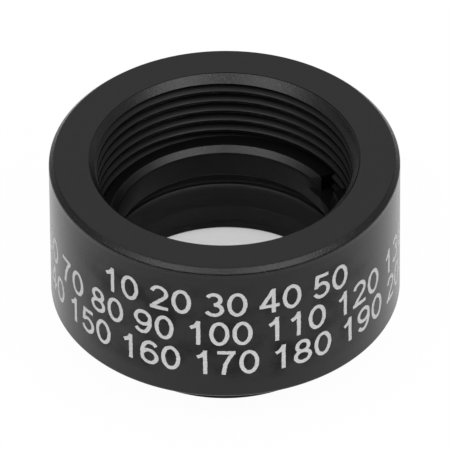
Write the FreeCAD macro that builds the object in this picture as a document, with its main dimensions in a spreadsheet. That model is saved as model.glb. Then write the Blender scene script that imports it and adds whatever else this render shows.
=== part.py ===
import FreeCAD, Part

import math
import os

import Sketcher

# A plano-convex lens in a threaded round cell, held on its ledge by a slotted retaining ring.
# Lengths are in millimetres. The optical axis is +Z, and the origin is where the axis meets
# the plane of the male end, on which the cell stands.

SIZES = [
    ("body_diameter", 17.78, "outside of the cell, 0.70 in"),
    ("body_length", 8.35, "shoulder to top face"),
    ("top_chamfer", 0.26, "outer edge of the top face"),
    ("shoulder_chamfer", 0.15, "outer edge of the shoulder"),
    ("mouth_chamfer", 0.427, "lead of the threaded mouth"),
    ("thread_pitch", 0.635, "40 turns to the inch"),
    ("thread_form", 1.0825, "depth of an internal thread across the diameter, in pitches"),
    ("thread_allowance", 0.05, "male threads under the major diameter of the bore's thread"),
    ("male_length", 2.29, "end of the male thread to the shoulder"),
    ("male_chamfer", 0.52, "lead of the male thread"),
    ("ledge_height", 0.61, "shoulder to the ledge under the lens"),
    ("ledge_chamfer", 0.11, "inner edge of the ledge"),
    ("end_chamfer", 0.14, "edge of the clear bore at the male end"),
    ("lens_diameter", 12.70, "0.5 in"),
    ("lens_edge", 2.00, "thickness of the lens at its rim"),
    ("lens_curve", 1292.0, "radius of the convex face, for a focal length of 2500"),
    ("lens_bevel", 0.15, "ground edge on both faces"),
    ("lens_clearance", 0.101, "gap between the lens and the crests of the thread, each side"),
    ("lens_seat", 0.43, "how far the lens reaches over the ledge, each side"),
    ("ring_thickness", 1.78, "retaining ring, along the axis"),
    ("ring_cover", 0.79, "how far the ring reaches over the lens, each side"),
    ("ring_chamfer", 0.32, "upper edge of the ring's bore"),
    ("ring_edge", 0.08, "lower edge of the ring's bore"),
    ("slot_width", 1.31, "spanner slot, between its parallel walls"),
    ("slot_mouth", 2.40, "spanner slot where it opens into the ring's bore"),
    ("slot_depth", 0.95, "spanner slot below the top of the ring"),
    ("slot_overrun", 0.50, "how far the slot's cut runs past the ring, inside and outside"),
    ("slot_turn", 27.0, "direction of the slots from +X, in degrees"),
    ("slot_count", 2, "spanner slots round the ring"),
]

doc = FreeCAD.newDocument("MountedLens")
sheet = doc.addObject("Spreadsheet::Sheet", "Sizes")
for row, (alias, value, meaning) in enumerate(SIZES, start=1):
    sheet.set(f"A{row}", meaning)
    sheet.set(f"B{row}", str(value))
    sheet.setAlias(f"B{row}", alias)
doc.recompute()

# Radii that several pieces share. The lens drops through the crests of the bore's thread, so
# the bore, both threads, the ledge and the ring all follow from the lens.
BODY_R = "Sizes.body_diameter / 2"
LENS_R = "Sizes.lens_diameter / 2"
LENS_FLAT_R = f"({LENS_R} - Sizes.lens_bevel)"
CREST_R = f"({LENS_R} + Sizes.lens_clearance)"
THREAD_R = f"({CREST_R} + Sizes.thread_form * Sizes.thread_pitch / 2)"
MALE_R = f"({THREAD_R} - Sizes.thread_allowance / 2)"
CLEAR_R = f"({LENS_R} - Sizes.lens_seat)"
RING_BORE_R = f"({LENS_R} - Sizes.ring_cover)"
RING_TOUCH_R = f"({RING_BORE_R} + Sizes.ring_edge)"
RING_CHAMFER_R = f"({RING_BORE_R} + Sizes.ring_chamfer)"

# Heights from the male end up. The ring's lower edge touches the convex face inside the
# lens's rim, where the face stands a little higher than at the rim.
SHOULDER_Z = "Sizes.male_length"
LEDGE_Z = f"({SHOULDER_Z} + Sizes.ledge_height)"
TOP_Z = f"({SHOULDER_Z} + Sizes.body_length)"
FACE_RISE = f"sqrt(Sizes.lens_curve^2 - {RING_TOUCH_R}^2) - sqrt(Sizes.lens_curve^2 - {LENS_FLAT_R}^2)"
RING_Z = f"({LEDGE_Z} + Sizes.lens_edge + {FACE_RISE})"
RING_TOP_Z = f"({RING_Z} + Sizes.ring_thickness)"


def number(expression):
    return float(sheet.evalExpression(expression))


def new_body(label):
    body = doc.addObject("PartDesign::Body", label)
    body.Label = label
    return body


def new_sketch(body, name, role):
    sketch = body.newObject("Sketcher::SketchObject", name)
    plane = next(item for item in body.Origin.OriginFeatures if item.Role == role)
    sketch.AttachmentSupport = [(plane, "")]
    sketch.MapMode = "FlatFace"
    return sketch


def bind(sketch, constraint, expression):
    index = sketch.addConstraint(constraint)
    sketch.setExpression(f"Constraints[{index}]", expression)


def bind_start(sketch, line, corner):
    """Ties the start of a line to its two distances from the sketch's origin."""
    across, up = corner
    if across == "0":
        sketch.addConstraint(Sketcher.Constraint("PointOnObject", line, 1, -2))
    else:
        bind(sketch, Sketcher.Constraint("DistanceX", -1, 1, line, 1, number(across)), across)
    if up == "0":
        sketch.addConstraint(Sketcher.Constraint("PointOnObject", line, 1, -1))
    else:
        bind(sketch, Sketcher.Constraint("DistanceY", -1, 1, line, 1, number(up)), up)


def draw_outline(sketch, corners):
    """Closed outline of straight lines through corners that are pairs of expressions."""
    points = [FreeCAD.Vector(number(across), number(up), 0) for across, up in corners]
    following = points[1:] + points[:1]
    for start, end in zip(points, following):
        sketch.addGeometry(Part.LineSegment(start, end), False)
    for line, corner in enumerate(corners):
        joined = (line + 1) % len(corners)
        sketch.addConstraint(Sketcher.Constraint("Coincident", line, 2, joined, 1))
        bind_start(sketch, line, corner)


def turn(body, kind, name, sketch):
    """A full turn of the sketch about its upright axis, which adds or cuts."""
    feature = body.newObject(kind, name)
    feature.Profile = sketch
    feature.ReferenceAxis = (sketch, ["V_Axis"])
    feature.Angle = 360
    sketch.Visibility = False
    return feature


# Housing: turned from bar, outside first. Its section runs up from the male end, whose thread
# is drawn at its major diameter.
housing = new_body("housing")
outside_sketch = new_sketch(housing, "housing_outside", "XZ_Plane")
draw_outline(outside_sketch, [
    ("0", "0"),
    (f"{MALE_R} - Sizes.male_chamfer", "0"),
    (MALE_R, "Sizes.male_chamfer"),
    (MALE_R, SHOULDER_Z),
    (f"{BODY_R} - Sizes.shoulder_chamfer", SHOULDER_Z),
    (BODY_R, f"{SHOULDER_Z} + Sizes.shoulder_chamfer"),
    (BODY_R, f"{TOP_Z} - Sizes.top_chamfer"),
    (f"{BODY_R} - Sizes.top_chamfer", TOP_Z),
    ("0", TOP_Z),
])
turn(housing, "PartDesign::Revolution", "housing_blank", outside_sketch)

# Then it is bored: the clear bore, the ledge under the lens, the pocket round the lens, and
# the threaded mouth with its lead. The free thread is drawn at its crests. Where the ring is
# screwed in, the joint is drawn at the major diameter, as on a drawing of screwed parts.
inside_sketch = new_sketch(housing, "housing_inside", "XZ_Plane")
draw_outline(inside_sketch, [
    ("0", "0"),
    (f"{CLEAR_R} + Sizes.end_chamfer", "0"),
    (CLEAR_R, "Sizes.end_chamfer"),
    (CLEAR_R, f"{LEDGE_Z} - Sizes.ledge_chamfer"),
    (f"{CLEAR_R} + Sizes.ledge_chamfer", LEDGE_Z),
    (CREST_R, LEDGE_Z),
    (CREST_R, RING_Z),
    (THREAD_R, RING_Z),
    (THREAD_R, RING_TOP_Z),
    (CREST_R, RING_TOP_Z),
    (CREST_R, f"{TOP_Z} - Sizes.mouth_chamfer"),
    (f"{CREST_R} + Sizes.mouth_chamfer", TOP_Z),
    ("0", TOP_Z),
])
turn(housing, "PartDesign::Groove", "housing_bore", inside_sketch)

# Lens: plane face down on the ledge, convex face up, both edges ground to a small bevel. The
# convex face is an arc about a centre far below, on the axis.
lens = new_body("lens")
lens.setExpression("Placement.Base.z", LEDGE_Z)
lens_sketch = new_sketch(lens, "lens_section", "XZ_Plane")
lens_corners = [
    ("0", "0"),
    (LENS_FLAT_R, "0"),
    (LENS_R, "Sizes.lens_bevel"),
    (LENS_R, "Sizes.lens_edge - Sizes.lens_bevel"),
    (LENS_FLAT_R, "Sizes.lens_edge"),
]
lens_points = [FreeCAD.Vector(number(across), number(up), 0) for across, up in lens_corners]
for start, end in zip(lens_points, lens_points[1:]):
    lens_sketch.addGeometry(Part.LineSegment(start, end), False)
curve_r = number("Sizes.lens_curve")
rim_angle = math.acos(number(LENS_FLAT_R) / curve_r)
centre = FreeCAD.Vector(0, number("Sizes.lens_edge") - curve_r * math.sin(rim_angle), 0)
convex_circle = Part.Circle(centre, FreeCAD.Vector(0, 0, 1), curve_r)
convex_face = Part.ArcOfCircle(convex_circle, rim_angle, math.pi / 2)
ARC = lens_sketch.addGeometry(convex_face, False)
apex = convex_face.EndPoint
AXIS_LINE = lens_sketch.addGeometry(Part.LineSegment(apex, lens_points[0]), False)
for piece in range(AXIS_LINE + 1):
    joined = (piece + 1) % (AXIS_LINE + 1)
    lens_sketch.addConstraint(Sketcher.Constraint("Coincident", piece, 2, joined, 1))
for piece, corner in enumerate(lens_corners):
    bind_start(lens_sketch, piece, corner)
lens_sketch.addConstraint(Sketcher.Constraint("PointOnObject", ARC, 3, -2))
lens_sketch.addConstraint(Sketcher.Constraint("PointOnObject", AXIS_LINE, 1, -2))
bind(lens_sketch, Sketcher.Constraint("Radius", ARC, curve_r), "Sizes.lens_curve")
turn(lens, "PartDesign::Revolution", "lens_glass", lens_sketch)

# Retaining ring: a turned ring with a male thread, drawn at its major diameter. It rests on
# the convex face of the lens.
ring = new_body("retaining_ring")
ring.setExpression("Placement.Base.z", RING_Z)
ring.setExpression("Placement.Rotation.Angle", "Sizes.slot_turn")
ring_sketch = new_sketch(ring, "ring_section", "XZ_Plane")
draw_outline(ring_sketch, [
    (RING_TOUCH_R, "0"),
    (MALE_R, "0"),
    (MALE_R, "Sizes.ring_thickness"),
    (RING_CHAMFER_R, "Sizes.ring_thickness"),
    (RING_BORE_R, "Sizes.ring_thickness - Sizes.ring_chamfer"),
    (RING_BORE_R, "Sizes.ring_edge"),
])
turn(ring, "PartDesign::Revolution", "ring_blank", ring_sketch)

# Spanner slots, milled into the top face on the ring's own X axis. Each opens out where it
# meets the bore, from the bore's chamfer inwards.
slot_sketch = new_sketch(ring, "slot_plan", "XY_Plane")
slot_sketch.setExpression("AttachmentOffset.Base.z", "Sizes.ring_thickness")
INNER_END = f"{RING_BORE_R} - Sizes.slot_overrun"
OUTER_END = f"{MALE_R} + Sizes.slot_overrun"
draw_outline(slot_sketch, [
    (INNER_END, "-Sizes.slot_mouth / 2"),
    (RING_BORE_R, "-Sizes.slot_mouth / 2"),
    (RING_CHAMFER_R, "-Sizes.slot_width / 2"),
    (OUTER_END, "-Sizes.slot_width / 2"),
    (OUTER_END, "Sizes.slot_width / 2"),
    (RING_CHAMFER_R, "Sizes.slot_width / 2"),
    (RING_BORE_R, "Sizes.slot_mouth / 2"),
    (INNER_END, "Sizes.slot_mouth / 2"),
])
slot = ring.newObject("PartDesign::Pocket", "spanner_slot")
slot.Profile = slot_sketch
slot.Type = "Length"
slot.setExpression("Length", "Sizes.slot_depth")
slot_sketch.Visibility = False
doc.recompute()

slots = ring.newObject("PartDesign::PolarPattern", "spanner_slots")
slots.Originals = [slot]
slots.Axis = (slot_sketch, ["N_Axis"])
slots.Angle = 360
slots.setExpression("Occurrences", "Sizes.slot_count")
ring.Tip = slots
doc.recompute()

for item in doc.Objects:
    if "Invalid" in item.State or "Error" in item.State:
        raise RuntimeError(f"{item.Label} did not compute: {item.State}")

os.makedirs("parts", exist_ok=True)
for piece in (housing, lens, ring):
    shape = piece.Shape
    if shape.isNull() or not shape.isValid() or len(shape.Solids) != 1:
        raise RuntimeError(f"{piece.Label} is not one valid solid")
    shape.exportStep(os.path.join("parts", f"{piece.Label}.step"))
    print(f"{piece.Label}: {shape.Volume:.1f} cubic mm, top at {shape.BoundBox.ZMax:.3f}")
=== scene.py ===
import math
import random

import bmesh
import bpy
from mathutils import Matrix, Vector


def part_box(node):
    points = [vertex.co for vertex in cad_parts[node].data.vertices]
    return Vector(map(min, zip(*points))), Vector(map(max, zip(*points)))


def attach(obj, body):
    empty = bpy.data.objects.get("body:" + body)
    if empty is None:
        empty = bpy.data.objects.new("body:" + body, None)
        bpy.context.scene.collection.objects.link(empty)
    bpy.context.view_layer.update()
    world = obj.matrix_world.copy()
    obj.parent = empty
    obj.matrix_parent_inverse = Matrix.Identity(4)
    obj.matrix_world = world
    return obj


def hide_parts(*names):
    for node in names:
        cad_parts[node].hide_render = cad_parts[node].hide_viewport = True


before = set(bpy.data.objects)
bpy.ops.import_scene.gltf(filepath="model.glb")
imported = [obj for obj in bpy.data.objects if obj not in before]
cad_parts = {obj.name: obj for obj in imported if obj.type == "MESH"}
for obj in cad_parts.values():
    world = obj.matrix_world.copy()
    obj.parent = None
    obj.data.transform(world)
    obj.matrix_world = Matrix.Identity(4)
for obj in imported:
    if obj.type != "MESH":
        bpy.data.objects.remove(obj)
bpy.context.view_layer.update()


# Housing: one piece of aluminium, turned from bar, bored and threaded, then anodised black.
# Its mouth takes the ring, and the stub under its shoulder screws into a tube. Like the other
# pieces it is shaped in millimetres, and brought to metres at the end.
MM = 0.001
_, housing_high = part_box("housing")
lens_low, lens_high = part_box("lens")
ring_low, ring_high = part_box("retaining_ring")
BODY_R = housing_high.x / MM
TOP_Z = housing_high.z / MM
LEDGE_Z = lens_low.z / MM
MALE_R = ring_high.x / MM

SHOULDER_Z = 2.29
TOP_CHAMFER = 0.26
SHOULDER_CHAMFER = 0.15
MALE_CHAMFER = 0.52
RELIEF_R = 6.28
RELIEF_WIDTH = 0.40
CREST_R = 6.451
GROOVE_R = 6.795
MOUTH_CHAMFER = 0.427
MOUTH_STEP = 0.045
MOUTH_STEP_TURN = 50 / 360
CLEAR_R = 5.92
LEDGE_CHAMFER = 0.18
END_CHAMFER = 0.14
EDGE_BREAK = 0.06

# Both threads are of a 60 degree form, right-handed. A crest stands at CREST_Z on +X.
PITCH = 0.635
FLANK = math.tan(math.radians(30))
CREST_Z = 6.347
CREST_BREAK = 0.02
MALE_THREAD_DEPTH = 0.39
MALE_ROOT_R = MALE_R - MALE_THREAD_DEPTH
THREAD_LOW_Z = LEDGE_Z + 0.5

TURN_STEPS = 256
CORNER_POINTS = 6
CORNER_SHARE = 0.3
FLAT_FROM = 1.5
MERGE_DISTANCE = 0.0005


def broken(section, size=EDGE_BREAK):
    """The section with each corner rounded off, as far along both of its sides as size, or as a
    short side allows. A point more on each side keeps the flat beyond it shaded flat."""
    rounded = []
    for before, corner, after in zip(section[-1:] + section, section, section[1:] + section[:1]):
        corner = Vector(corner)
        back, ahead = Vector(before) - corner, Vector(after) - corner
        reach = min(size, back.length * CORNER_SHARE, ahead.length * CORNER_SHARE)
        first = corner + back.normalized() * reach
        last = corner + ahead.normalized() * reach
        rounded.append(tuple(corner + back.normalized() * reach * FLAT_FROM))
        for along in (0, 0.33, 0.67, 1):
            rounded.append(tuple(first.lerp(corner, along).lerp(corner.lerp(last, along), along)))
        rounded.append(tuple(corner + ahead.normalized() * reach * FLAT_FROM))
    return rounded


def thread_line(turned_by, crest_z, crest_r, root_r, crest_flat, low_z, high_z, cone=None):
    """The thread's outline from low_z up to high_z, after the helix has turned so far. Where the
    crest would stand out of the cone of a chamfer, it is cut back to it."""
    outward = 1 if root_r > crest_r else -1
    half_crest = crest_flat / 2
    depth = abs(root_r - crest_r)
    half_crest_outline = [
        (half_crest - CREST_BREAK, 0),
        (half_crest + CREST_BREAK * (FLANK - 1) / 4, CREST_BREAK / 4),
        (half_crest + CREST_BREAK * FLANK, CREST_BREAK),
        (half_crest + 2 * CREST_BREAK * FLANK, 2 * CREST_BREAK),
        (half_crest + depth * FLANK, depth),
    ]
    one_crest = [(-rise, crest_r + outward * fall) for rise, fall in half_crest_outline[::-1]]
    one_crest += [(rise, crest_r + outward * fall) for rise, fall in half_crest_outline]
    first = math.floor((low_z - crest_z) / PITCH) - 2
    last = math.ceil((high_z - crest_z) / PITCH) + 1
    raw = [(crest_z + (turn + turned_by) * PITCH + rise, radius)
           for turn in range(first, last + 1) for rise, radius in one_crest]

    # Every outline has the same count of points: those past an end are gathered at it.
    line = []
    for (z, radius), (next_z, next_radius) in zip(raw, raw[1:]):
        for limit in (low_z, high_z):
            if z < limit < next_z:
                share = (limit - z) / (next_z - z)
                crossing = radius + (next_radius - radius) * share
                if limit == low_z:
                    line = [(low_z, crossing)] * (len(line) + 1)
                    break
                line.append((z, radius))
                line += [(high_z, crossing)] * (len(raw) - 1 - len(line))
                break
        else:
            if len(line) < len(raw) - 1:
                line.append((z, radius))

    if cone:
        beyond = [outward * (cone(z) - radius) for z, radius in line]
        cut_back = list(line)
        for index, (z, radius) in enumerate(line):
            if beyond[index] <= 0:
                continue
            cut_back[index] = (z, cone(z))
            for other in (index - 1, index + 1):
                if 0 <= other < len(line) and beyond[other] < 0:
                    share = beyond[index] / (beyond[index] - beyond[other])
                    near_z, near_r = line[other]
                    cut_back[index] = (z + (near_z - z) * share, radius + (near_r - radius) * share)
        line = cut_back
    return [(radius, z) for z, radius in line]


def as_object(name, mesh):
    data = bpy.data.meshes.new(name)
    mesh.to_mesh(data)
    mesh.free()
    piece = bpy.data.objects.new(name, data)
    bpy.context.scene.collection.objects.link(piece)
    return piece


def swept(name, section_at):
    """The closed section that section_at gives for each share of a turn, carried round Z. No
    operator carries a section that changes on its way, as a thread's does."""
    mesh = bmesh.new()
    rings = []
    for step in range(TURN_STEPS + 1):
        angle = math.tau * step / TURN_STEPS
        rings.append([mesh.verts.new((radius * math.cos(angle), radius * math.sin(angle), z))
                      for radius, z in section_at(step / TURN_STEPS)])
    for ring, following in zip(rings, rings[1:]):
        for index in range(len(ring)):
            mesh.faces.new((ring[index - 1], ring[index], following[index], following[index - 1]))
    bmesh.ops.remove_doubles(mesh, verts=mesh.verts, dist=MERGE_DISTANCE)
    bmesh.ops.delete(mesh, geom=[edge for edge in mesh.edges if edge.is_wire], context="EDGES")
    bmesh.ops.recalc_face_normals(mesh, faces=mesh.faces)
    return as_object(name, mesh)


def housing_form(mouth_step):
    """The housing's section, from under its shoulder round to the foot of its male thread."""
    return broken([
        (MALE_R, SHOULDER_Z - RELIEF_WIDTH),
        (RELIEF_R, SHOULDER_Z - RELIEF_WIDTH),
        (RELIEF_R, SHOULDER_Z),
        (BODY_R - SHOULDER_CHAMFER, SHOULDER_Z),
        (BODY_R, SHOULDER_Z + SHOULDER_CHAMFER),
        (BODY_R, TOP_Z - TOP_CHAMFER),
        (BODY_R - TOP_CHAMFER, TOP_Z),
        (CREST_R + MOUTH_CHAMFER, TOP_Z),
        (CREST_R + MOUTH_CHAMFER, TOP_Z - mouth_step),
        (CREST_R, TOP_Z - mouth_step - MOUTH_CHAMFER),
        (CREST_R, LEDGE_Z),
        (CLEAR_R + LEDGE_CHAMFER, LEDGE_Z),
        (CLEAR_R, LEDGE_Z - LEDGE_CHAMFER),
        (CLEAR_R, END_CHAMFER),
        (CLEAR_R + END_CHAMFER, 0),
        (MALE_R - MALE_CHAMFER, 0),
        (MALE_R, MALE_CHAMFER),
    ])


# The corners that the outlines of the threads stand in for.
MALE_TOP, MOUTH_CREST, MALE_FOOT = 0, 9, 16


def housing_section(turned_by):
    """The section with its threads. The mouth's chamfer is a hair off centre, so the step at its
    rim fades out on one side."""
    step = MOUTH_STEP * (0.70 + 0.30 * math.cos(math.tau * (turned_by - MOUTH_STEP_TURN)))
    form = housing_form(step)
    mouth = thread_line(turned_by, CREST_Z, CREST_R, GROOVE_R, PITCH / 4, THREAD_LOW_Z,
                        TOP_Z - step - EDGE_BREAK, lambda z: CREST_R + MOUTH_CHAMFER + z - TOP_Z + step)
    male = thread_line(turned_by, 0, MALE_R, MALE_ROOT_R, PITCH / 8, EDGE_BREAK,
                       SHOULDER_Z - RELIEF_WIDTH, lambda z: MALE_R - MALE_CHAMFER + z)
    outside = form[(MALE_TOP + 1) * CORNER_POINTS:MOUTH_CREST * CORNER_POINTS]
    inside = form[(MOUTH_CREST + 1) * CORNER_POINTS:MALE_FOOT * CORNER_POINTS]
    return outside + mouth[::-1] + inside + male


housing = swept("housing_turned", housing_section)


class Shade:
    """A shader socket that takes part in Python arithmetic."""

    def __init__(self, tree, socket):
        self.tree = tree
        self.socket = socket

    def maths(self, operation, *others):
        return node(self.tree, "ShaderNodeMath", {"operation": operation}, [self, *others])

    def between(self, low, high):
        """From 0 at low to 1 at high."""
        return node(self.tree, "ShaderNodeMapRange", {}, {
            "Value": self, "From Min": low, "From Max": high})

    def ramp(self, low, high):
        """From 0 at low to 1 at high, both in millimetres."""
        return self.between(low * MM, high * MM)

    def __add__(self, other):
        return self.maths("ADD", other)

    def __radd__(self, other):
        return self.maths("ADD", other)

    def __sub__(self, other):
        return self.maths("SUBTRACT", other)

    def __rsub__(self, other):
        return node(self.tree, "ShaderNodeMath", {"operation": "SUBTRACT"}, [other, self])

    def __mul__(self, other):
        return self.maths("MULTIPLY", other)

    def __rmul__(self, other):
        return self.maths("MULTIPLY", other)


def node(tree, kind, settings, inputs, output=0):
    """Any shader node: its settings first, then the values or links of its sockets."""
    made = tree.nodes.new(kind)
    for name, value in settings.items():
        setattr(made, name, value)
    named = inputs.items() if isinstance(inputs, dict) else enumerate(inputs)
    for key, value in named:
        if isinstance(value, Shade):
            tree.links.new(value.socket, made.inputs[key])
        else:
            made.inputs[key].default_value = value
    return Shade(tree, made.outputs[output])


def grey(level):
    return (level, level, level, 1)


def new_material(name):
    """An empty material. One that the frame brought under this name is emptied for it."""
    material = bpy.data.materials.get(name) or bpy.data.materials.new(name)
    material.use_nodes = True
    material.node_tree.nodes.clear()
    return material, material.node_tree


def finish_material(tree, shader):
    output = tree.nodes.new("ShaderNodeOutputMaterial")
    tree.links.new(shader.socket, output.inputs["Surface"])


ANODISING_BLACK = 0.003
BARE_METAL = 0.075
ANODISING_IOR = 1.42
GRAIN_SCALE = 16000.0
CLOUD_SCALE = 260.0
TOOL_LINE_SCALE = 9000.0
GRAIN_DEPTH = 0.00002
SPECK_FROM, SPECK_FULL = 0.63, 0.77
SHEEN_FROM, SHEEN_FULL = 0.35, 0.80
SHEEN = 0.26


def anodised(name, finish_at):
    """Black anodising over turned metal: fine grain and the tool's lines round the axis.
    finish_at gives how rough it is, how far rubbed, with specks where metal glints through, how deep the
    tool's lines are, and how far its gloss is taken away: by soot on the housing, and as painted shade on
    the ring's slot walls."""
    material, tree = new_material(name)
    place = node(tree, "ShaderNodeTexCoord", {}, [], "Object")
    x, y, z = (node(tree, "ShaderNodeSeparateXYZ", {}, [place], axis) for axis in "XYZ")
    radius = (x * x + y * y).maths("SQRT")
    roughness, rubbed, grooved, soot_and_shade = finish_at(place, radius, y, z)
    turned = node(tree, "ShaderNodeCombineXYZ", {}, [radius, z, 0.0])
    grain = node(tree, "ShaderNodeTexNoise", {}, {"Vector": place, "Scale": GRAIN_SCALE, "Detail": 1.0})
    cloud = node(tree, "ShaderNodeTexNoise", {}, {"Vector": place, "Scale": CLOUD_SCALE, "Detail": 2.0})
    lines = node(tree, "ShaderNodeTexNoise", {}, {
        "Vector": turned, "Scale": TOOL_LINE_SCALE, "Detail": 1.0})
    speck = grain.between(SPECK_FROM, SPECK_FULL) * rubbed
    bump = node(tree, "ShaderNodeBump", {}, {
        "Strength": 1.0, "Distance": GRAIN_DEPTH,
        "Height": grain * (rubbed * 0.5 + 0.3) + lines * (grooved * 0.08 + 0.08)})
    colour = node(tree, "ShaderNodeMix", {"data_type": "RGBA"}, {
        "Factor": speck.maths("MAXIMUM", grooved * 0.08),
        "A": grey(ANODISING_BLACK), "B": grey(BARE_METAL)}, "Result")
    # Metallic over the near-black colour takes the gloss away: soot on the housing, painted shade on the
    # ring's slot walls.
    shader = node(tree, "ShaderNodeBsdfPrincipled", {}, {
        "Base Color": colour,
        "Metallic": speck.maths("MAXIMUM", soot_and_shade + grain.between(SHEEN_FROM, SHEEN_FULL) * SHEEN),
        "Roughness": roughness + (cloud - 0.5) * 0.08 + (lines - 0.5) * 0.06,
        "IOR": ANODISING_IOR,
        "Normal": bump,
    })
    finish_material(tree, shader)
    return material


WALL_ROUGHNESS = 0.22
MOUTH_RIM_R = 6.88
SMOKE_SCALE = 650.0
SMOKE_FROM, SMOKE_FULL = 0.40, 0.66

# Each pair is where one finish begins to go over into the next, and where it ends, in millimetres.
INSIDE_EDGE_R = (6.9, 7.0)
SMOKE_LOW_Z, SMOKE_HIGH_Z = (3.2, 4.2), (8.9, 9.7)
SMOKE_SIDE_Y = (-6.4, -4.0)


def housing_finish(place, radius, y, z):
    """The wall is smoothest, but for the smoke round the marks. The threads are duller, and the
    bore below the lens is dullest. The chamfers are rubbed."""
    inside = 1 - radius.ramp(*INSIDE_EDGE_R)
    low = inside * (1 - z.ramp(LEDGE_Z - 0.12, LEDGE_Z))
    threaded = inside * (1 - z.ramp(TOP_Z - 0.5, TOP_Z - 0.45))
    near_top = z.ramp(TOP_Z - 0.5, TOP_Z - 0.46)
    within_rim = 1 - radius.ramp(MOUTH_RIM_R - 0.02, MOUTH_RIM_R + 0.02)
    on_chamfer = radius.ramp(BODY_R - TOP_CHAMFER - 0.02, BODY_R - TOP_CHAMFER)
    smoke = node(place.tree, "ShaderNodeTexNoise", {}, {
        "Vector": place, "Scale": SMOKE_SCALE, "Detail": 4.0})
    marked = z.ramp(*SMOKE_LOW_Z) * (1 - z.ramp(*SMOKE_HIGH_Z)) * (1 - y.ramp(*SMOKE_SIDE_Y))
    smoked = marked * smoke.between(SMOKE_FROM, SMOKE_FULL)
    rubbed_mouth = near_top * within_rim
    rougher = threaded * 0.10 + low * 0.50 + smoked * 0.10
    roughness = rougher - rubbed_mouth * 0.05 + WALL_ROUGHNESS
    return roughness, near_top * (within_rim + on_chamfer), low, smoked * 0.55


housing.data.materials.append(anodised("black_anodised", housing_finish))


# Numbers: three rows of plain counting numbers on the wall, in pale grey. A laser burns them
# through the black in lines, a hundredth of a millimetre deep, with slightly ragged edges.
MARK_HEIGHT = 1.55
MARK_STROKE = 0.215
MARK_ADVANCE = 1.17
MARK_GAP = 0.50
MARK_RAGGED = 0.012
MARK_DEPTH = 0.012
MARK_FACING = math.radians(-90)
MARK_STEP = 0.13
ARC_STEP = 15
CLOSED_WITHIN = 0.001
ROWS = [
    (SHOULDER_Z + 5.35, "10 20 30 40 50"),
    (SHOULDER_Z + 3.45, "60 70 80 90 100 110 120 130"),
    (SHOULDER_Z + 1.55, "140 150 160 170 180 190 200"),
]
BURNT_SLOT = 1


def arc(centre_x, centre_y, radius_x, radius_y, start, end):
    """Points of an elliptical arc, from one angle to another in degrees."""
    count = max(2, round(abs(end - start) / ARC_STEP) + 1)
    angles = [math.radians(start + (end - start) * index / (count - 1)) for index in range(count)]
    return [(centre_x + radius_x * math.cos(a), centre_y + radius_y * math.sin(a)) for a in angles]


# The middle lines of each figure's strokes, for a figure 1 high and with 0 in its middle.
TOP, FOOT, SIDE = 0.93, 0.07, 0.26
FIGURES = {
    "0": [arc(0, 0.5, SIDE, 0.43, -90, 270)],
    "1": [[(-0.19, 0.69), (-0.05, 0.77), (0.07, TOP)], [(0.07, 1), (0.07, 0)]],
    "2": [arc(0, 0.68, 0.25, 0.25, 170, -35) + [(-0.10, 0.25), (-0.25, FOOT)],
          [(-0.33, FOOT), (0.31, FOOT)]],
    "3": [arc(-0.01, 0.72, 0.22, 0.21, 155, -90), arc(0, 0.29, SIDE, 0.22, 90, -160)],
    "4": [[(0.12, 0), (0.12, 1)], [(0.10, TOP), (-0.28, 0.29)], [(-0.35, 0.29), (0.32, 0.29)]],
    "5": [[(0.27, TOP), (-0.18, TOP)], [(-0.15, 1), (-0.21, 0.46)],
          arc(0, 0.34, SIDE, 0.27, 145, -160)],
    "6": [arc(0, 0.33, SIDE, 0.26, -90, 270), arc(0.04, 0.45, 0.30, 0.48, 180, 45)],
    "7": [[(-0.29, TOP), (0.31, TOP)], [(0.25, TOP), (0.09, 0.68), (-0.03, 0.40), (-0.09, 0)]],
    "8": [arc(0, 0.72, 0.21, 0.21, -90, 270), arc(0, 0.29, SIDE, 0.22, -90, 270)],
    "9": [arc(0, 0.67, SIDE, 0.26, -90, 270), arc(-0.04, 0.55, 0.30, 0.48, 0, -135)],
}
# Strokes that cross are cut to slightly different depths, so that no two floors coincide.
STROKE_DEPTH_STEP = 0.0015
ragged = random.Random(7)


def stroke_on_wall(mesh, line, middle, base_z, depth):
    """A burnt stroke: the line at its width, a little ragged, as a closed strip that bends with
    the wall."""
    outside, inside = BODY_R + depth, BODY_R - depth
    points = [Vector((middle + x * MARK_HEIGHT, base_z + y * MARK_HEIGHT)) for x, y in line]
    fine = [points[0]]
    for start, end in zip(points, points[1:]):
        parts = max(1, math.ceil((end - start).length / MARK_STEP))
        fine += [start.lerp(end, part / parts) for part in range(1, parts + 1)]
    closed = (fine[0] - fine[-1]).length < CLOSED_WITHIN
    if closed:
        fine.pop()
    rings = []
    for index, point in enumerate(fine):
        before = fine[index - 1] if closed or index else point
        after = fine[(index + 1) % len(fine)] if closed or index + 1 < len(fine) else point
        into = (point - before).normalized() if point != before else (after - point).normalized()
        out = (after - point).normalized() if after != point else into
        along = (into + out).normalized()
        side = Vector((-along.y, along.x)) / max(0.5, along.dot(into))
        left = point + side * (MARK_STROKE / 2 + ragged.uniform(-MARK_RAGGED, MARK_RAGGED))
        right = point - side * (MARK_STROKE / 2 + ragged.uniform(-MARK_RAGGED, MARK_RAGGED))
        ring_points = []
        for flat, radius in ((left, outside), (right, outside), (right, inside), (left, inside)):
            angle = MARK_FACING + flat.x / BODY_R
            ring_points.append(mesh.verts.new((
                radius * math.cos(angle), radius * math.sin(angle), flat.y)))
        rings.append(ring_points)
    pairs = list(zip(rings, rings[1:])) + ([(rings[-1], rings[0])] if closed else [])
    for first, second in pairs:
        for corner in range(4):
            other = (corner + 1) % 4
            mesh.faces.new((first[corner], first[other], second[other], second[corner]))
    if not closed:
        mesh.faces.new(rings[0])
        mesh.faces.new(rings[-1])


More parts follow.
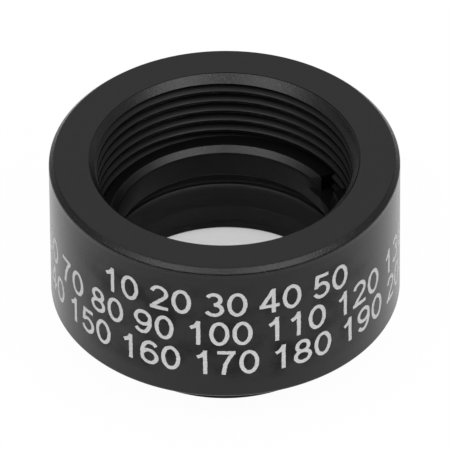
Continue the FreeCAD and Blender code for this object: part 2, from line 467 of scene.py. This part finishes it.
def shape(piece, **settings):
    """One exact Boolean step on the piece."""
    step = piece.modifiers.new("shape", "BOOLEAN")
    step.solver = "EXACT"
    for name, value in settings.items():
        setattr(step, name, value)
    depsgraph = bpy.context.evaluated_depsgraph_get()
    made = bpy.data.meshes.new_from_object(piece.evaluated_get(depsgraph))
    piece.modifiers.clear()
    piece.data = made


def cut(piece, *tools):
    """Takes the tools' shapes out of the piece, and the tools away."""
    for tool in tools:
        shape(piece, operation="DIFFERENCE", object=tool)
        bpy.data.objects.remove(tool)


def number_strokes(name):
    """Every stroke of the rows, made one closed shape where they cross."""
    mesh = bmesh.new()
    for base_z, figures in ROWS:
        advances = [MARK_GAP if figure == " " else MARK_ADVANCE for figure in figures]
        middle = -sum(advances) / 2
        for figure, advance in zip(figures, advances):
            middle += advance / 2
            for order, line in enumerate(FIGURES.get(figure, [])):
                stroke_on_wall(mesh, line, middle, base_z, MARK_DEPTH + order * STROKE_DEPTH_STEP)
            middle += advance / 2
    bmesh.ops.recalc_face_normals(mesh, faces=mesh.faces)
    for face in mesh.faces:
        face.material_index = BURNT_SLOT
    strokes = as_object(name, mesh)
    for material in housing.data.materials:
        strokes.data.materials.append(material)
    shape(strokes, operation="UNION", operand_type="COLLECTION", use_self=True)
    return strokes


BURNT_DARK = 0.38
BURNT_PALE = 0.76
BURNT_ROUGHNESS = 0.75
BURNT_GRAIN_SCALE = 9000.0
BURNT_LINE_SCALE = 11000.0


def burnt_mark(name):
    """Burnt anodising: pale and matt, grainy, with the laser's lines one above the other."""
    material, tree = new_material(name)
    place = node(tree, "ShaderNodeTexCoord", {}, [], "Object")
    z = node(tree, "ShaderNodeSeparateXYZ", {}, [place], "Z")
    passes = node(tree, "ShaderNodeCombineXYZ", {}, [0.0, 0.0, z])
    grain = node(tree, "ShaderNodeTexNoise", {}, {
        "Vector": place, "Scale": BURNT_GRAIN_SCALE, "Detail": 2.0})
    lines = node(tree, "ShaderNodeTexNoise", {}, {
        "Vector": passes, "Scale": BURNT_LINE_SCALE, "Detail": 0.0})
    colour = node(tree, "ShaderNodeMix", {"data_type": "RGBA"}, {
        "Factor": grain * 0.6 + lines * 0.4, "A": grey(BURNT_DARK), "B": grey(BURNT_PALE)}, "Result")
    shader = node(tree, "ShaderNodeBsdfPrincipled", {}, {
        "Base Color": colour, "Roughness": BURNT_ROUGHNESS})
    finish_material(tree, shader)
    return material


SHARP_ANGLE = math.radians(35)
SHORTEST_EDGE = 0.001


def to_metres(piece):
    """Clears up what the cuts left, and brings the piece to metres, smooth but for its edges."""
    mesh = bmesh.new()
    mesh.from_mesh(piece.data)
    bmesh.ops.dissolve_degenerate(mesh, edges=mesh.edges, dist=SHORTEST_EDGE)
    bmesh.ops.scale(mesh, vec=(MM, MM, MM), verts=mesh.verts)
    for face in mesh.faces:
        face.smooth = True
    for edge in mesh.edges:
        edge.smooth = edge.calc_face_angle(0) < SHARP_ANGLE
    mesh.to_mesh(piece.data)
    mesh.free()


housing.data.materials.append(burnt_mark("burnt_mark"))
cut(housing, number_strokes("number_strokes"))
to_metres(housing)
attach(housing, "root")
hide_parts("housing")


# Lens: polished crown glass with an antireflection coating on both faces. The plane face lies
# on the ledge, and the convex face is so flat that it rises by less than 0.02 mm.
LENS_R = lens_high.x / MM
LENS_TOP_Z = lens_high.z / MM
LENS_BEVEL = 0.11
LENS_EDGE = 2.0
LENS_AIR = 0.003
LENS_FORM = [
    (0, LEDGE_Z + LENS_AIR),
    (LENS_R - LENS_BEVEL, LEDGE_Z + LENS_AIR),
    (LENS_R, LEDGE_Z + LENS_BEVEL),
    (LENS_R, LEDGE_Z + LENS_EDGE - LENS_BEVEL),
    (LENS_R - LENS_BEVEL, LEDGE_Z + LENS_EDGE),
    (0, LENS_TOP_Z),
]
CROWN_GLASS_IOR = 1.517
GLASS_PASSES = 0.96
GROUND_PAINTED_SHADE = 0.006
GROUND_SLOT = 1
POLISHED_NORMAL_Z = 0.9

lens_mesh = bmesh.new()
corners = [lens_mesh.verts.new((radius, 0, z)) for radius, z in LENS_FORM]
for first, second in zip(corners, corners[1:]):
    lens_mesh.edges.new((first, second))
bmesh.ops.spin(lens_mesh, geom=lens_mesh.verts[:] + lens_mesh.edges[:], cent=(0, 0, 0), axis=(0, 0, 1),
               angle=math.tau, steps=TURN_STEPS, use_merge=True)
bmesh.ops.remove_doubles(lens_mesh, verts=lens_mesh.verts, dist=MERGE_DISTANCE)
bmesh.ops.recalc_face_normals(lens_mesh, faces=lens_mesh.faces)
lens = as_object("lens_glass", lens_mesh)
to_metres(lens)


def ray(tree, fact):
    """What kind of ray meets the surface, or how often it was turned aside before."""
    return node(tree, "ShaderNodeLightPath", {}, [], fact)


# The glass bends what is seen through it. Its coating leaves no mirror image, and the light of
# all other rays goes straight through.
material, tree = new_material("coated_glass")
glass = node(tree, "ShaderNodeBsdfPrincipled", {}, {
    "Base Color": grey(1), "Roughness": 0.0, "IOR": CROWN_GLASS_IOR, "Transmission Weight": 1.0,
    "Specular IOR Level": 0.0, "Specular Tint": grey(0)})
clear = node(tree, "ShaderNodeBsdfTransparent", {}, {"Color": grey(GLASS_PASSES)})
turned_aside = ray(tree, "Glossy Depth") + ray(tree, "Diffuse Depth")
unseen = (ray(tree, "Is Shadow Ray") + turned_aside).maths("MINIMUM", 1)
finish_material(tree, node(tree, "ShaderNodeMixShader", {}, [unseen, glass, clear]))
lens.data.materials.append(material)

# The rim and its bevels are ground. Their near-black colour is painted shade, standing in for the dark of
# the cell.
material, tree = new_material("ground_glass")
finish_material(tree, node(tree, "ShaderNodeBsdfPrincipled", {}, {
    "Base Color": grey(GROUND_PAINTED_SHADE), "Roughness": 0.6, "IOR": 1.2}))
lens.data.materials.append(material)
for face in lens.data.polygons:
    if abs(face.normal.z) < POLISHED_NORMAL_Z:
        face.material_index = GROUND_SLOT
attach(lens, "root")
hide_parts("lens")


# Retaining ring: a turned and slotted ring of black anodised aluminium. Its thread turns it down
# on the lens, with a pin spanner in its two slots.
RING_Z = ring_low.z / MM
RING_TOP_Z = ring_high.z / MM
RING_BORE_R = 5.56
RING_CHAMFER = 0.31
RING_CHAMFER_R = RING_BORE_R + RING_CHAMFER
RING_EDGE = 0.08
RING_BREAK = 0.03
SLOT_WIDTH = 1.31
SLOT_MOUTH = 2.40
SLOT_DEPTH = 0.95
SLOT_FLOOR_Z = RING_TOP_Z - SLOT_DEPTH
SLOT_BREAK = 0.04
SLOT_TURN = math.radians(27)
RING_ROUGHNESS = 0.34

# How far the cutter overruns the ring inwards, outwards and upwards.
CUTTER_IN, CUTTER_OUT, CUTTER_UP = 0.3, 0.5, 0.2

RING_FORM = broken([
    (MALE_R, RING_TOP_Z),
    (RING_CHAMFER_R, RING_TOP_Z),
    (RING_BORE_R, RING_TOP_Z - RING_CHAMFER),
    (RING_BORE_R, RING_Z + RING_EDGE),
    (RING_BORE_R + RING_EDGE, RING_Z),
    (MALE_R, RING_Z),
], RING_BREAK)


def ring_section(turned_by):
    """The ring's section, with its thread in place of its outer corners."""
    thread = thread_line(turned_by, CREST_Z + PITCH / 2, MALE_R, MALE_ROOT_R, PITCH / 8,
                         RING_Z, RING_TOP_Z)
    return RING_FORM[CORNER_POINTS:-CORNER_POINTS] + thread


ring = swept("ring_turned", ring_section)


def slot_tool(name, turn_angle):
    """A milling cutter's path: parallel through the ring and opening out towards its bore. At
    the top face one side is a little wider, as a deburring tool leaves it."""
    half, wide = SLOT_WIDTH / 2, SLOT_MOUTH / 2
    mouth_x = math.sqrt(RING_BORE_R ** 2 - wide ** 2)
    widest = wide + (wide - half) / (RING_CHAMFER_R - mouth_x) * CUTTER_IN
    outline = [
        (mouth_x - CUTTER_IN, -widest), (RING_CHAMFER_R, -half), (MALE_R + CUTTER_OUT, -half),
        (MALE_R + CUTTER_OUT, half), (RING_CHAMFER_R, half), (mouth_x - CUTTER_IN, widest),
    ]
    mesh = bmesh.new()
    plan = mesh.faces.new([mesh.verts.new((x, y, SLOT_FLOOR_Z)) for x, y in outline])
    for rise, wider in ((SLOT_DEPTH - SLOT_BREAK, 0), (SLOT_BREAK + CUTTER_UP, SLOT_BREAK + CUTTER_UP)):
        below = plan
        raised = bmesh.ops.extrude_face_region(mesh, geom=[below])["geom"]
        plan = next(item for item in raised if isinstance(item, bmesh.types.BMFace))
        for corner in plan.verts:
            corner.co += Vector((0, -wider if corner.co.y < 0 else 0, rise))
    bmesh.ops.delete(mesh, geom=[below], context="FACES_ONLY")
    bmesh.ops.recalc_face_normals(mesh, faces=mesh.faces)
    bmesh.ops.rotate(mesh, verts=mesh.verts, cent=(0, 0, 0), matrix=Matrix.Rotation(turn_angle, 3, "Z"))
    return as_object(name, mesh)


def ring_finish(place, radius, y, z):
    """The bore's chamfer is rubbed and smoothest. The slots' flares are dull, and their parallel walls are
    made dead black as painted shade."""
    chamfered = z.ramp(RING_TOP_Z - RING_CHAMFER, RING_TOP_Z - RING_CHAMFER + 0.04) * (
        1 - radius.ramp(RING_CHAMFER_R, RING_CHAMFER_R + 0.04))
    above_floor = z.ramp(SLOT_FLOOR_Z + 0.03, SLOT_FLOOR_Z + 0.10)
    outer = radius.ramp(RING_CHAMFER_R + 0.03, RING_CHAMFER_R + 0.06)
    # Painted shade: the slots' parallel walls lose their gloss and turn dead black.
    painted_shade_walls = above_floor * outer * (1 - z.ramp(RING_TOP_Z - 0.05, RING_TOP_Z - 0.03))
    off_bore = radius.ramp(RING_BORE_R + 0.03, RING_BORE_R + 0.06)
    flared = above_floor * (1 - outer) * off_bore * (1 - chamfered)
    roughness = RING_ROUGHNESS - chamfered * 0.10 + flared * 0.28
    return roughness, chamfered + flared * 0.6, 0.0, painted_shade_walls * 0.7


cut(ring, slot_tool("slot_tool_near", SLOT_TURN), slot_tool("slot_tool_far", SLOT_TURN + math.pi))
to_metres(ring)
ring.data.materials.append(anodised("ring_anodised", ring_finish))
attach(ring, "root")
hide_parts("retaining_ring")


# Floor: a white sheet that the cell stands on. It is plain white to the eye. The black metal
# mirrors it as white too, though dimmed close to the cell by a painted shadow, and in all other
# light it takes the cell's shadow.
FLOOR_HALF = 0.045
FLOOR_GAP = 0.00001
SHEET_WHITE = 0.92
SEEN_WHITE = 0.97
SEEN_THROUGH_LENS = 0.35
PAINTED_SHADOW_FROM_R, PAINTED_SHADOW_TO_R = 12.0, 7.0
PAINTED_SHADOW_LEVEL = 0.25

floor_mesh = bmesh.new()
bmesh.ops.create_grid(floor_mesh, x_segments=1, y_segments=1, size=FLOOR_HALF)
bmesh.ops.translate(floor_mesh, verts=floor_mesh.verts, vec=(0, 0, -FLOOR_GAP))
floor = as_object("white_floor", floor_mesh)
material, tree = new_material("white_sheet")
lit = node(tree, "ShaderNodeBsdfDiffuse", {}, {"Color": grey(SHEET_WHITE)})
white = node(tree, "ShaderNodeEmission", {}, {"Color": grey(1), "Strength": 1.0})
place = node(tree, "ShaderNodeTexCoord", {}, [], "Object")
from_axis = node(tree, "ShaderNodeVectorMath", {"operation": "LENGTH"}, [place], "Value")
# Painted shadow: the sheet as the metal mirrors it is dimmed close to the cell.
painted_shadow_fade = from_axis.ramp(PAINTED_SHADOW_TO_R, PAINTED_SHADOW_FROM_R) * (1 - PAINTED_SHADOW_LEVEL) + PAINTED_SHADOW_LEVEL
through_glass = ray(tree, "Transmission Depth") + ray(tree, "Transparent Depth")
mirrored = ray(tree, "Is Glossy Ray") * through_glass.maths("LESS_THAN", 1) * painted_shadow_fade
through_lens = ray(tree, "Is Transmission Ray") * ray(tree, "Glossy Depth").maths("LESS_THAN", 1)
seen = ray(tree, "Is Camera Ray") * SEEN_WHITE + mirrored * SEEN_WHITE + through_lens * SEEN_THROUGH_LENS
finish_material(tree, node(tree, "ShaderNodeMixShader", {}, [seen, lit, white]))
material.cycles.emission_sampling = "NONE"
floor.data.materials.append(material)


# Light: a tent that is plain white to the eye. It lights the cell most from two wide panels
# before it, left and right, and least from the horizon, and a dark flag on each side behind
# the cell shades it.
PANELS = [
    # facing, where it fades out and where it is full (as cosines), and its strength
    ((0.466, -0.511, 0.722), 0.88, 0.99, 2.60),
    ((-0.466, -0.511, 0.722), 0.88, 0.99, 2.15),
    ((0.0, -0.64, 0.768), 0.80, 0.97, 0.36),
    ((0.64, 0.46, 0.62), 0.92, 0.985, -0.34),
    ((-0.64, 0.46, 0.62), 0.92, 0.985, -0.48),
]
NEAR_HORIZON_LIGHT = 0.10
FAR_HORIZON_LIGHT = 0.50
HORIZON_NEAR_Y, HORIZON_FAR_Y = -0.8, 0.1
ROOM_LIGHT = 0.80
ROOM_LOW, ROOM_HIGH = 0.33, 0.68


def eased(tree, value, low, high, at_low, at_high):
    """From at_low to at_high as the value goes from low to high, with soft ends."""
    return node(tree, "ShaderNodeMapRange", {"interpolation_type": "SMOOTHSTEP"}, {
        "Value": value, "From Min": low, "From Max": high, "To Min": at_low, "To Max": at_high})


world = bpy.data.worlds.new("studio")
bpy.context.scene.world = world
world.use_nodes = True
tree = world.node_tree
tree.nodes.clear()
direction = node(tree, "ShaderNodeTexCoord", {}, [], "Generated")
height = node(tree, "ShaderNodeSeparateXYZ", {}, [direction], "Z")
depth = node(tree, "ShaderNodeSeparateXYZ", {}, [direction], "Y")
horizon = eased(tree, depth, HORIZON_NEAR_Y, HORIZON_FAR_Y, NEAR_HORIZON_LIGHT, FAR_HORIZON_LIGHT)
light = eased(tree, height, ROOM_LOW, ROOM_HIGH, horizon, ROOM_LIGHT)
for facing, edge, middle, strength in PANELS:
    unit = tuple(Vector(facing).normalized())
    nearness = node(tree, "ShaderNodeVectorMath", {"operation": "DOT_PRODUCT"}, [direction, unit], "Value")
    light = light + eased(tree, nearness, edge, middle, 0.0, strength)
seen = (ray(tree, "Is Camera Ray") + ray(tree, "Is Transmission Ray")).maths("MINIMUM", 1)
light = light * (1 - seen) + seen
background = node(tree, "ShaderNodeBackground", {}, {"Color": grey(1), "Strength": light})
outlet = tree.nodes.new("ShaderNodeOutputWorld")
tree.links.new(background.socket, outlet.inputs["Surface"])


# Camera: the photograph's view, worked out from the circles of the cell in it. The lens is
# very long, so the view is nearly parallel. The picture's middle lies half a pixel off the axis.
CAMERA_RISE = 0.69488
CAMERA_FAR = 0.588146
CAMERA_ROLL = 0.008395
CAMERA_LENS = 928.5
SENSOR_WIDTH = 36
PICTURE_PIXELS = 449
CAMERA_AIM = (0, 0, 0.0062352)
HALF_PIXEL = 0.5 * CAMERA_FAR * SENSOR_WIDTH / CAMERA_LENS / PICTURE_PIXELS

camera_data = bpy.data.cameras.new("camera")
camera_data.lens = CAMERA_LENS
camera_data.sensor_width = SENSOR_WIDTH
camera_data.clip_start = 0.01
camera_data.clip_end = 20
camera = bpy.data.objects.new("camera", camera_data)
bpy.context.scene.collection.objects.link(camera)
tilt = Matrix.Rotation(math.pi / 2 - CAMERA_RISE, 4, "X") @ Matrix.Rotation(-CAMERA_ROLL, 4, "Z")
back = Matrix.Translation((-HALF_PIXEL, HALF_PIXEL, CAMERA_FAR))
camera.matrix_world = Matrix.Translation(CAMERA_AIM) @ tilt @ back
bpy.context.scene.camera = camera
bpy.context.scene.view_settings.view_transform = "Standard"
